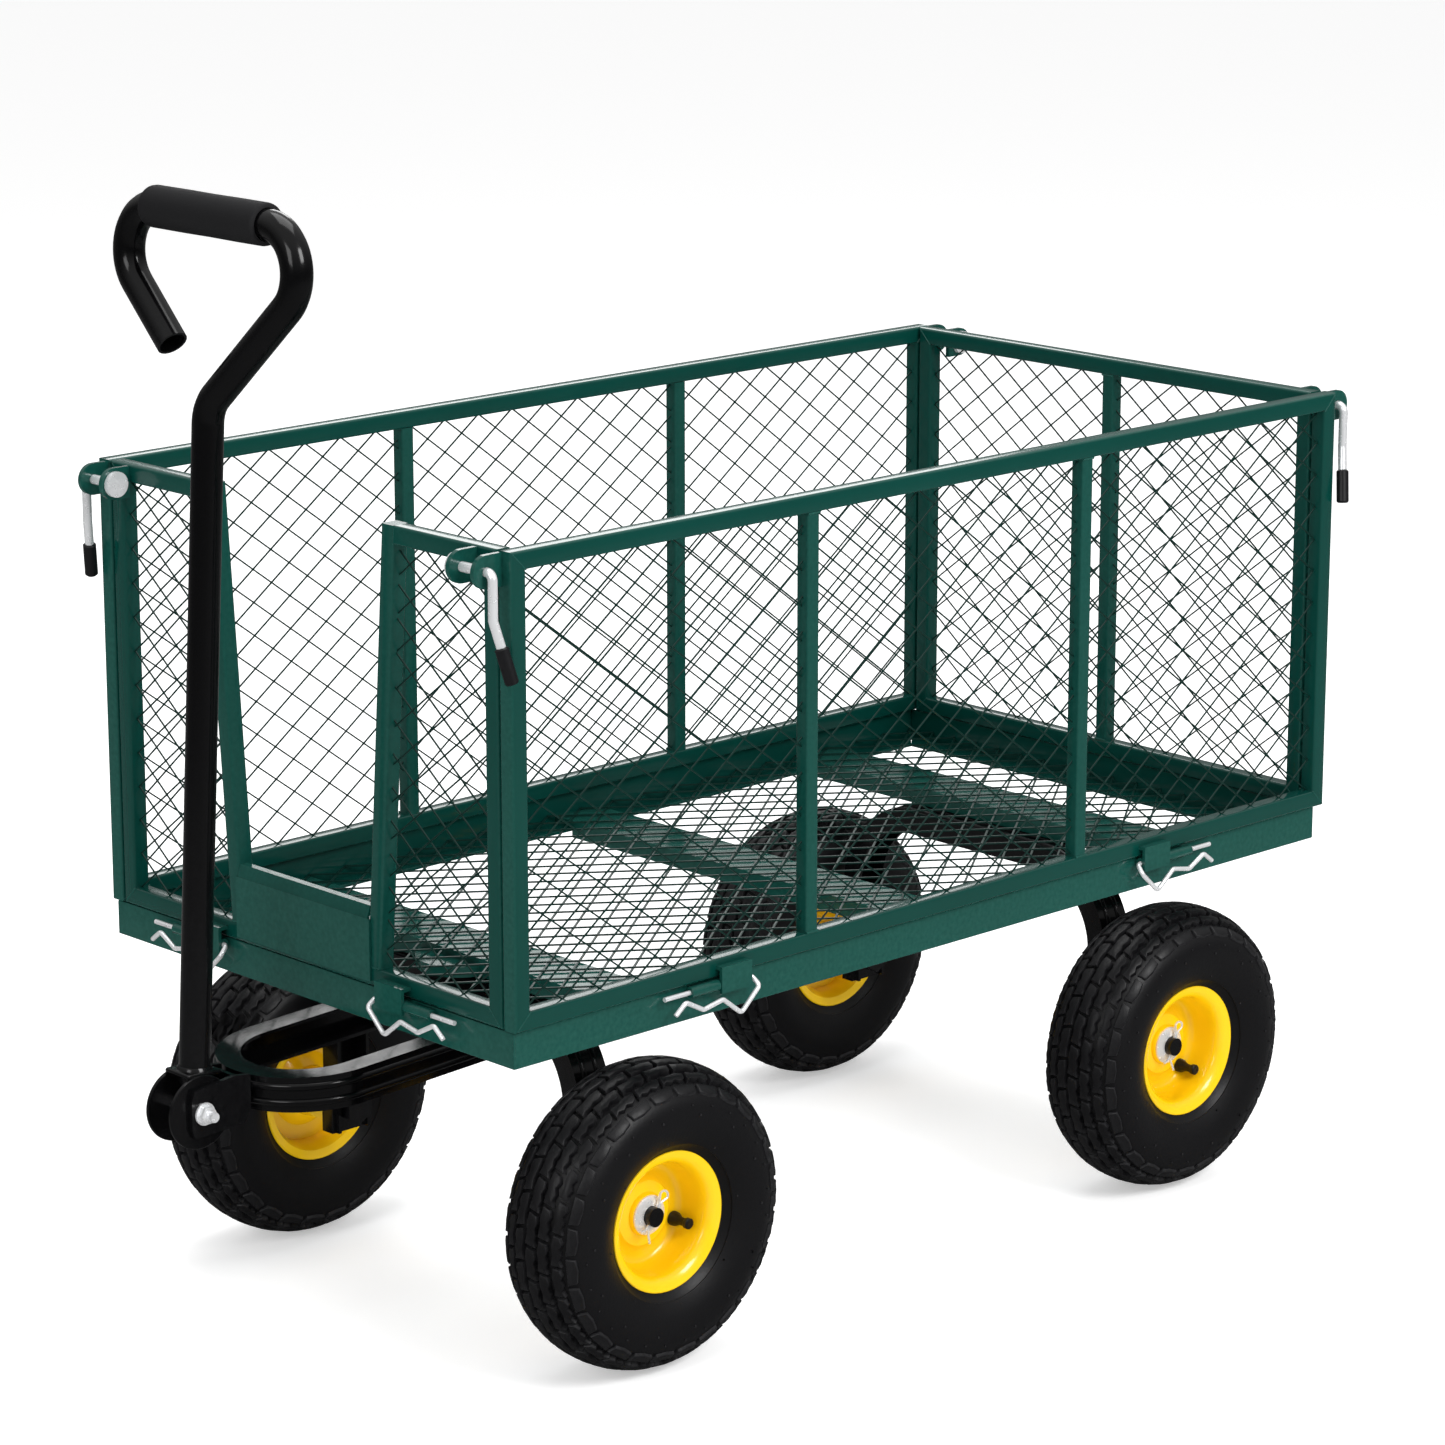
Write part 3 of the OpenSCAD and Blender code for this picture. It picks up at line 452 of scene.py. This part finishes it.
def axle_ends():
    """Chrome washers and cotter pins outside the rims."""
    x = WHEEL_X + 0.0062
    for sx in (1, -1):
        for sy, body in ((-1, "steering"), (1, "bed")):
            washer = spun([(x, 0.0083), (x, 0.0155), (x + 0.0006, 0.0165), (x + 0.0016, 0.0162),
                           (x + 0.0034, 0.0125), (x + 0.0038, 0.0083)], 48, "washer")
            leg = [(x + 0.0068, 0.0045, 0.0185), (x + 0.0062, 0.0012, 0.0130),
                   (x + 0.0060, 0.0008, -0.0120), (x + 0.0075, 0.0075, -0.0205)]
            a = wire(leg, 0.0010, 0.004, "leg_a", 8, 6)
            # the other leg is 4 mm shorter
            other = [(p[0], -p[1], p[2] + (0.004 if i == 3 else 0)) for i, p in enumerate(leg)]
            b = wire(other, 0.0010, 0.004, "leg_b", 8, 6)
            eye = wire([(x + 0.0068, 0.0045, 0.0183), (x + 0.0070, 0.0045, 0.0225),
                        (x + 0.0070, -0.0045, 0.0225), (x + 0.0068, -0.0045, 0.0183)],
                       0.0010, 0.0040, "eye", 8, 8)
            o = join([washer, a, b, eye])
            m = Matrix.Translation((0, BED_Y + sy * AXLE_Y, WHEEL_Z)) @ Matrix.Scale(sx, 4, (1, 0, 0))
            m = m @ Matrix.Rotation(math.radians(-35 if sy < 0 else -20), 4, "X")
            place(o, m)
            tag = ("f" if sy < 0 else "r") + ("r" if sx > 0 else "l")
            finish_piece(o, "axle_washer_" + tag, ZINC, body,
                         ("front_axle_ends" if sy < 0 else "rear_axle_ends",) if sx > 0 else (), 35)


# ---- handle ---------------------------------------------------------------------------

def leaning():
    return Matrix.Translation(PIVOT) @ Matrix.Rotation(-LEAN, 4, "X") @ Matrix.Translation((0, 0.005, 0))


def handle():
    ca, sa = math.cos(math.radians(47.3)), math.sin(math.radians(47.3))
    cx, cz, r, k = 0.068, 0.665, 0.035, 0.030
    ex, ez = cx + r * ca, cz - r * sa
    slant = (ex - k * (1 - ca)) / sa
    knee = ez - slant * ca - k * sa

    def turn(px, pz, rad, a0, sweep, n):
        angles = [math.radians(a0 + sweep * i / n) for i in range(n + 1)]
        return [(px + rad * math.cos(a), 0, pz + rad * math.sin(a)) for a in angles]
    path = [(0, 0, 0.020), (0, 0, 0.3)]
    path += turn(k, knee, k, 180, -47.3, 10)
    path += turn(cx, cz, r, -47.3, 137.3, 24)
    path += turn(-cx, cz, r, 90, 137.3, 24)
    path.append((-ex + 0.062 * sa, 0, ez - 0.062 * ca))
    o = wire(path, 0.0125, 0.0, "tube", 32, 1, hollow=0.0022)
    place(o, leaning())
    finish_piece(o, "handle_tube_look", BLACK, "handle", ("handle_tube",), 50)
    # foam grip, its ends rounded and its right end open around the tube
    grip = spun([(-0.073, 0.0128), (-0.073, 0.0152), (-0.0718, 0.0161), (-0.0695, 0.0165), (-0.03, 0.0166),
                 (0.0, 0.0164), (0.035, 0.0166), (0.0640, 0.0165), (0.0660, 0.0161), (0.0670, 0.0152),
                 (0.0670, 0.0128)], 48, "grip")
    place(grip, leaning() @ Matrix.Translation((0, 0, 0.700)))
    finish_piece(grip, "grip_look", FOAM, "handle", ("handle_grip",), 50)


def fork():
    """Two round cheeks joined by a saddle over the clevis."""
    parts = []
    for s in (1, -1):
        c = spun([(0.0130, 0.0062), (0.0130, 0.0292), (0.0137, 0.0300), (0.0153, 0.0300), (0.0160, 0.0292),
                  (0.0160, 0.0062)], 72, "cheek")
        if s < 0:
            place(c, Matrix.Scale(-1, 4, (1, 0, 0)))
        parts.append(c)
    # saddle: a plate bent over both cheeks, with the tube standing on it
    bpy.ops.mesh.primitive_cube_add(size=1, location=(0, 0.004, 0.0295))
    s = bpy.context.view_layer.objects.active
    s.scale = (0.0300, 0.034, 0.0045)
    bpy.ops.object.transform_apply(location=True, rotation=True, scale=True)
    bev = s.modifiers.new("round", "BEVEL")
    bev.width, bev.segments = 0.0018, 3
    bpy.ops.object.modifier_apply(modifier=bev.name)
    collar = spun([(0.030, 0.0119), (0.030, 0.0148), (0.033, 0.0138), (0.0345, 0.0128), (0.0345, 0.0119)],
                  32, "weld")
    place(collar, Matrix.Translation((0, 0.005, 0)) @ Matrix.Rotation(-math.pi / 2, 4, "Y"))
    o = join(parts + [s, collar])
    place(o, Matrix.Translation(PIVOT) @ Matrix.Rotation(-LEAN, 4, "X"))
    finish_piece(o, "handle_fork_look", BLACK, "handle", ("handle_fork",), 35)


# ---- tube frames and rails ------------------------------------------------------------

def bar(outline, depth, along, edge, name="bar"):
    """An outline in the XY plane made depth thick; only the edges along the given direction are rounded."""
    bm = bmesh.new()
    low = [bm.verts.new((x, y, 0)) for x, y in outline]
    high = [bm.verts.new((x, y, depth)) for x, y in outline]
    n = len(outline)
    bm.faces.new(list(reversed(low)))
    bm.faces.new(high)
    for i in range(n):
        bm.faces.new((low[i], low[(i + 1) % n], high[(i + 1) % n], high[i]))
    d = Vector((*along, 0)).normalized()
    edges = [e for e in bm.edges if abs((e.verts[1].co - e.verts[0].co).normalized().dot(d)) > 0.995]
    bmesh.ops.bevel(bm, geom=edges, offset=edge, segments=4, profile=0.5, affect="EDGES")
    bmesh.ops.recalc_face_normals(bm, faces=bm.faces)
    me = bpy.data.meshes.new(name)
    bm.to_mesh(me)
    bm.free()
    o = bpy.data.objects.new(name, me)
    bpy.context.scene.collection.objects.link(o)
    return o


def seam(a, b, depth=TUBE):
    """Ground-down weld across both faces of a mitred corner."""
    return [wire([(*a, z), (*b, z)], 0.0006, 0, "seam", 8) for z in (0.0001, depth - 0.0001)]


def ring(w, h, t=TUBE):
    """Four mitred tubes around w x h with their ground welds."""
    r = TUBE_ROUND
    parts = [bar([(0, 0), (w, 0), (w - t, t), (t, t)], t, (1, 0), r),
             bar([(t, h - t), (w - t, h - t), (w, h), (0, h)], t, (1, 0), r),
             bar([(0, 0), (t, t), (t, h - t), (0, h)], t, (0, 1), r),
             bar([(w, 0), (w, h), (w - t, h - t), (w - t, t)], t, (0, 1), r)]
    for x, dx in ((0, t), (w, -t)):
        for y, dy in ((0, t), (h, -t)):
            parts += seam((x + dx * 0.1, y + dy * 0.1), (x + dx, y + dy))
    return parts


def post(x, h, t=0.013):
    """An upright tube between a frame's rails, welded at both ends."""
    x0, x1 = x - t / 2, x + t / 2
    p = bar([(x0, TUBE), (x1, TUBE), (x1, h - TUBE), (x0, h - TUBE)], t, (0, 1), 0.0018)
    place(p, Matrix.Translation((0, 0, (TUBE - t) / 2)))
    z = TUBE - WELD
    ends = (TUBE + 0.0004, h - TUBE - 0.0004)
    return [p] + [wire([(x0, y, z), (x1, y, z)], WELD, 0, "weld", 8) for y in ends]


def frames():
    h = PANEL_TOP - PANEL_Z
    for s, tag in ((1, "right"), (-1, "left")):
        parts = ring(REAR_Y - FRONT_Y, h) + post(0.317, h) + post(0.638, h)
        m = Matrix(((0, 0, 1, SIDE_X - TUBE), (1, 0, 0, FRONT_Y), (0, 1, 0, PANEL_Z), (0, 0, 0, 1)))
        o = place(join(parts), Matrix.Scale(s, 4, (1, 0, 0)) @ m)
        finish_piece(o, tag + "_frame_look", GREEN, tag + "_panel", (tag + "_frame",), 40)
    o = join(ring(2 * END_X, h) + post(END_X, h))
    place(o, Matrix(((1, 0, 0, -END_X), (0, 0, -1, REAR_Y), (0, 1, 0, PANEL_Z), (0, 0, 0, 1))))
    finish_piece(o, "rear_frame_look", GREEN, "rear_panel", ("rear_frame",), 40)
    # front: the bars beside the notch lean outwards
    slope, foot, top = NOTCH_SLOPE, NOTCH_X, NOTCH_TOP
    t, r, w = TUBE, TUBE_ROUND, END_X
    parts = [bar([(-w, 0), (w, 0), (w - t, t), (t - w, t)], t, (1, 0), r)]
    for s in (1, -1):
        half = [bar([(w, 0), (w, h), (w - t, h - t), (w - t, t)], t, (0, 1), r),
                bar([(top + t - slope * t, h - t), (w - t, h - t), (w, h), (top + t, h)], t, (1, 0), r),
                bar([(foot, t), (foot + t, t), (top + t, h), (top, h)], t, (top - foot, h - t), r)]
        half += seam((w - 0.002, 0.002), (w - t, t)) + seam((w - 0.002, h - 0.002), (w - t, h - t))
        half += seam((top + t - slope * t, h - t), (top + t, h - 0.002))
        low, front = t + 0.0004, t - 0.0004
        half.append(wire([(foot + 0.001, low, front), (foot + t - 0.001, low, front)], WELD, 0, "weld", 8))
        if s < 0:
            half = [place(p, Matrix.Scale(-1, 4, (1, 0, 0))) for p in half]
        parts += half
    m = Matrix(((1, 0, 0, 0), (0, 0, -1, FRONT_Y + TUBE), (0, 1, 0, PANEL_Z), (0, 0, 0, 1)))
    o = place(join(parts), m)
    finish_piece(o, "front_frame_look", GREEN, "front_panel", ("front_frame",), 40)


def rails():
    """Angle rails round the bed, bent edges rounded, a weld up each corner."""
    bx, by = BED
    t, w = 0.003, 0.025       # thickness of the plate and width of the bottom flange
    parts = []
    for rx, ry, turn in ((bx, by, 0), (by, bx, 90)):
        for s in (0, 180):
            plate = bar([(-rx, -ry), (rx, -ry), (rx - t, t - ry), (t - rx, t - ry)], 0.029, (1, 0), 0.0009,
                        "plate")
            flange = bar([(t - rx, 0.002 - ry), (rx - t, 0.002 - ry), (rx - w, w - ry), (w - rx, w - ry)],
                         t, (1, 0), 0.0006, "flange")
            for p in (plate, flange):
                parts.append(place(p, Matrix.Rotation(math.radians(turn + s), 4, "Z")))
    for sx in (1, -1):
        for sy in (1, -1):
            x, y = sx * (bx - 0.0010), sy * (by - 0.0010)
            parts.append(wire([(x, y, 0.0006), (x, y, 0.0284)], 0.0012, 0, "weld", 12))
    o = place(join(parts), Matrix.Translation((0, BED_Y, 0.291)))
    finish_piece(o, "bed_rails_look", GREEN, "bed", ("bed_rails",), 40)


def bolts():
    """Pivot bolt with its head and nut, and the kingpin."""
    def bit(sides, radius, length, at, upright=False):
        bpy.ops.mesh.primitive_cylinder_add(vertices=sides, radius=radius, depth=length, location=at,
                                            rotation=(0, 0, 0) if upright else (0, math.pi / 2, 0))
        o = bpy.context.view_layer.objects.active
        bpy.ops.object.transform_apply(location=True, rotation=True, scale=True)
        if sides == 6:
            bev = o.modifiers.new("edge", "BEVEL")
            bev.width, bev.segments = 0.0005, 2
            bpy.ops.object.modifier_apply(modifier=bev.name)
        return o
    y, z = PIVOT.y, PIVOT.z
    king = BED_Y - AXLE_Y
    # shank, two washers, nut, head, thread end, then the kingpin and its hexagon
    parts = [bit(32, 0.0046, 0.050, (0.0015, y, z)), bit(32, 0.0092, 0.0016, (0.0211, y, z)),
             bit(32, 0.0092, 0.0016, (-0.0211, y, z)), bit(6, 0.0077, 0.0055, (0.0246, y, z)),
             bit(6, 0.0077, 0.0050, (-0.0244, y, z)), bit(24, 0.0040, 0.010, (0.0290, y, z)),
             bit(32, 0.0080, 0.022, (0, king, 0.282), True), bit(6, 0.0138, 0.0109, (0, king, 0.27445), True)]
    finish_piece(join(parts), "pivot_bolts_look", ZINC, "steering", ("pivot_bolts",), 35)


# ---- mesh -----------------------------------------------------------------------------

def diamond_mesh(w, h, lw, lh, name, cut=None, strand=0.0012):
    """Expanded mesh in the XY plane from the origin: one cross of flat strands, repeated both ways."""
    nx, ny = round(w / lw), round(h / lh)
    a, b = w / nx, h / ny
    arms = []
    ang = math.atan2(b, a)
    for s in (1, -1):
        bpy.ops.mesh.primitive_cube_add(size=1, location=(0, 0, 0.0004 * s))
        o = bpy.context.view_layer.objects.active
        o.scale = (math.hypot(a, b), strand, strand * 0.8)
        o.rotation_euler = (0, 0, ang * s)
        bpy.ops.object.transform_apply(location=True, rotation=True, scale=True)
        arms.append(o)
    o = join(arms)
    bpy.ops.object.mode_set(mode="EDIT")
    bpy.ops.mesh.select_all(action="SELECT")
    bpy.ops.transform.translate(value=(a / 2, b / 2, 0))
    bpy.ops.object.mode_set(mode="OBJECT")
    for count, offset in ((nx, (a, 0, 0)), (ny, (0, b, 0))):
        m = o.modifiers.new("row", "ARRAY")
        m.count = count
        m.use_relative_offset = False
        m.use_constant_offset = True
        m.constant_offset_displace = offset
        bpy.ops.object.modifier_apply(modifier=m.name)
    if cut:
        for co, no in cut:
            bpy.ops.object.mode_set(mode="EDIT")
            bpy.ops.mesh.select_all(action="SELECT")
            bpy.ops.mesh.bisect(plane_co=co, plane_no=no, clear_outer=True, use_fill=False)
            bpy.ops.object.mode_set(mode="OBJECT")
    return o


def meshes():
    long_d, short_d = 0.0387, 0.0285
    inner_h = PANEL_TOP - PANEL_Z - 2 * TUBE
    mid, foot_z = TUBE / 2, PANEL_Z + TUBE
    # sides: u along Y, v up
    for s, tag in ((1, "right"), (-1, "left")):
        o = diamond_mesh(REAR_Y - FRONT_Y - 2 * TUBE, inner_h, long_d, short_d, "side")
        m = Matrix(((0, 0, 1, SIDE_X - mid), (1, 0, 0, FRONT_Y + TUBE), (0, 1, 0, foot_z), (0, 0, 0, 1)))
        place(o, Matrix.Scale(s, 4, (1, 0, 0)) @ m)
        finish_piece(o, tag + "_mesh_look", MESH, tag + "_panel", (tag + "_mesh",), 0)
    # rear
    w = 2 * (END_X - TUBE)
    o = diamond_mesh(w, inner_h, long_d, short_d, "rear")
    place(o, Matrix(((1, 0, 0, -END_X + TUBE), (0, 0, 1, REAR_Y - mid), (0, 1, 0, foot_z), (0, 0, 0, 1))))
    finish_piece(o, "rear_mesh_look", MESH, "rear_panel", ("rear_mesh",), 0)
    # front: two halves beside the notch
    halves = []
    for s in (1, -1):
        cut = [((NOTCH_X + TUBE, 0, 0), Vector((-1, NOTCH_SLOPE, 0)))]
        o = diamond_mesh(END_X - TUBE, inner_h, long_d, short_d, "half", cut=cut)
        place(o, Matrix(((s, 0, 0, 0), (0, 0, 1, FRONT_Y + mid), (0, 1, 0, foot_z), (0, 0, 0, 1))))
        halves.append(o)
    finish_piece(join(halves), "front_mesh_look", MESH, "front_panel", ("front_mesh",), 0)
    # floor: long diagonals along Y
    fw, fl = 2 * BED[0] - 0.007, 2 * BED[1] - 0.007
    o = diamond_mesh(fw, fl, short_d, long_d, "floor", strand=0.0016)
    place(o, Matrix.Translation((-fw / 2, BED_Y - fl / 2, 0.3022)))
    finish_piece(o, "floor_mesh_look", MESH, "bed", ("bed_floor",), 0)


# ---- hinges' hairpins and latch levers ------------------------------------------------

def hinge_frame(side, end):
    """Where a hairpin sits: its loop at 0, its straight leg along +X, the outside of the cart at -Y."""
    if side in ("right", "left"):
        s = -1 if end == "front" else 1
        m = Matrix.Translation((0.257, BED_Y + s * 0.229, HINGE_Z))
        if s < 0:
            m = m @ Matrix.Scale(-1, 4, (0, 1, 0))
        m = m @ Matrix.Rotation(math.pi / 2, 4, "Z")
        return Matrix.Scale(-1 if side == "left" else 1, 4, (1, 0, 0)) @ m
    s = -1 if side == "front" else 1
    m = Matrix.Translation((0, BED_Y + s * 0.482, HINGE_Z))
    if s > 0:
        m = m @ Matrix.Scale(-1, 4, (0, 1, 0))
    m = m @ Matrix.Translation((0.093, 0, 0))
    return Matrix.Scale(-1 if end == "left" else 1, 4, (1, 0, 0)) @ m


def hairpins():
    out = -0.0075             # the wavy leg hangs outside the straight one
    pts = [(0.096, 0, 0), (0.002, 0, 0), (0, out, -0.007), (0.020, out, -0.0255), (0.040, out, -0.010),
           (0.061, out, -0.014), (0.080, out, -0.004), (0.091, out, -0.0125)]
    for side, ends in (("right", ("front", "rear")), ("left", ("front", "rear")),
                       ("front", ("right", "left")), ("rear", ("right", "left"))):
        for end in ends:
            name = "hairpin_%s_%s" % (side, end)
            p = place(wire(pts, 0.0020, 0.004, name, 16, 8), hinge_frame(side, end))
            finish_piece(p, name + "_look", ZINC, name + "_wire", (name,), 50)


def latches():
    x = 0.2515
    kink, end = Vector((x, 0, -0.036)), Vector((x + 0.010, 0.0095, -0.084))
    for tag, sx, sy in (("fr", 1, -1), ("fl", -1, -1), ("rr", 1, 1), ("rl", -1, 1)):
        if sy < 0:
            m = Matrix.Translation((0, FRONT_Y - 0.015, LATCH_Z))
        else:
            m = Matrix.Translation((0, REAR_Y + 0.015, LATCH_Z)) @ Matrix.Scale(-1, 4, (0, 1, 0))
        m = Matrix.Scale(sx, 4, (1, 0, 0)) @ m
        rod = wire([(0.241, 0, 0), (x, 0, 0), kink, kink + (end - kink) * 0.9], 0.0038, 0.006, "rod", 20, 10)
        place(rod, m)
        finish_piece(rod, "lever_%s_look" % tag, ZINC, "latch_" + tag, ("lever_" + tag,), 50)
        axis = (end - kink).normalized()
        tip = lathe_end(0.0054, 0.0290, 0.0012)
        along = axis.to_track_quat("X", "Z").to_matrix().to_4x4()
        place(tip, m @ Matrix.Translation(kink + (end - kink) * 0.42) @ along)
        finish_piece(tip, "tip_%s_look" % tag, RUBBER, "latch_" + tag, ("tip_" + tag,), 40)


# ---- stage ----------------------------------------------------------------------------

def stage():
    bpy.ops.mesh.primitive_plane_add(size=400, location=(0, 0, -0.0005))
    floor = bpy.context.view_layer.objects.active
    floor.name = "studio_floor"
    m = bpy.data.materials.new("studio_white")
    m.use_nodes = True
    b = m.node_tree.nodes["Principled BSDF"]
    b.inputs["Base Color"].default_value = (0.90, 0.90, 0.90, 1)
    b.inputs["Roughness"].default_value = 0.9
    b.inputs["Specular IOR Level"].default_value = 0.1
    b.inputs["Emission Color"].default_value = (1, 1, 1, 1)
    b.inputs["Emission Strength"].default_value = 0.42
    # glossy rays see the floor as a dim grey while the camera sees it white: painted shade in the paint's
    # reflections
    n, link = m.node_tree.nodes, m.node_tree.links.new
    dim = n.new("ShaderNodeBsdfDiffuse")
    dim.inputs["Color"].default_value = (0.16, 0.16, 0.16, 1)
    path = n.new("ShaderNodeLightPath")
    mix = n.new("ShaderNodeMixShader")
    link(path.outputs["Is Glossy Ray"], mix.inputs[0])
    link(b.outputs["BSDF"], mix.inputs[1])
    link(dim.outputs["BSDF"], mix.inputs[2])
    link(mix.outputs["Shader"], n["Material Output"].inputs["Surface"])
    floor.data.materials.append(m)
    world = bpy.data.worlds.new("studio")
    bpy.context.scene.world = world
    world.use_nodes = True
    n, link = world.node_tree.nodes, world.node_tree.links.new
    n["Background"].inputs["Color"].default_value = (1, 1, 1, 1)
    kinds = ("TexCoord", "SeparateXYZ", "MapRange", "LightPath", "Mix")
    co, axes, sky, path, mix = (n.new("ShaderNode" + k) for k in kinds)
    link(co.outputs["Generated"], axes.inputs["Vector"])
    link(axes.outputs["Z"], sky.inputs["Value"])
    for k, v in (("From Min", 0.05), ("From Max", 0.75), ("To Min", 0.10), ("To Max", 0.75)):
        sky.inputs[k].default_value = v
    link(path.outputs["Is Glossy Ray"], mix.inputs["Factor"])
    mix.inputs["A"].default_value = 0.58
    link(sky.outputs["Result"], mix.inputs["B"])
    link(mix.outputs["Result"], n["Background"].inputs["Strength"])
    for name, spot, size, power in (("key", (3.4, 0.2, 2.9), 1.6, 105), ("fill", (0.8, -3.6, 2.2), 1.4, 28),
                                    ("top", (-0.4, 0.4, 3.8), 2.4, 60), ("back", (-3.0, 2.6, 2.4), 1.6, 25)):
        light = bpy.data.lights.new(name, "AREA")
        light.energy, light.size = power, size
        o = bpy.data.objects.new(name, light)
        bpy.context.scene.collection.objects.link(o)
        o.location = spot
        o.rotation_euler = (Vector((0, 0, 0.35)) - Vector(spot)).to_track_quat("-Z", "Y").to_euler()
    bpy.context.scene.view_settings.view_transform = "Standard"
    cam = bpy.data.cameras.new("camera")
    cam.lens, cam.sensor_width = 117.6, 36
    cam.shift_x, cam.shift_y = -0.0015, -0.0038
    cam.clip_start, cam.clip_end = 0.1, 100
    o = bpy.data.objects.new("camera", cam)
    bpy.context.scene.collection.objects.link(o)
    az, el = math.radians(46.271), math.radians(14.188)
    back = Vector((math.sin(az) * math.cos(el), -math.cos(az) * math.cos(el), math.sin(el)))
    o.location = Vector((2.83035, -2.6642, 1.43269))
    o.rotation_euler = (-back).to_track_quat("-Z", "Y").to_euler()
    bpy.context.scene.camera = o


wheels()
axle_ends()
handle()
fork()
frames()
rails()
bolts()
meshes()
hairpins()
latches()
stage()
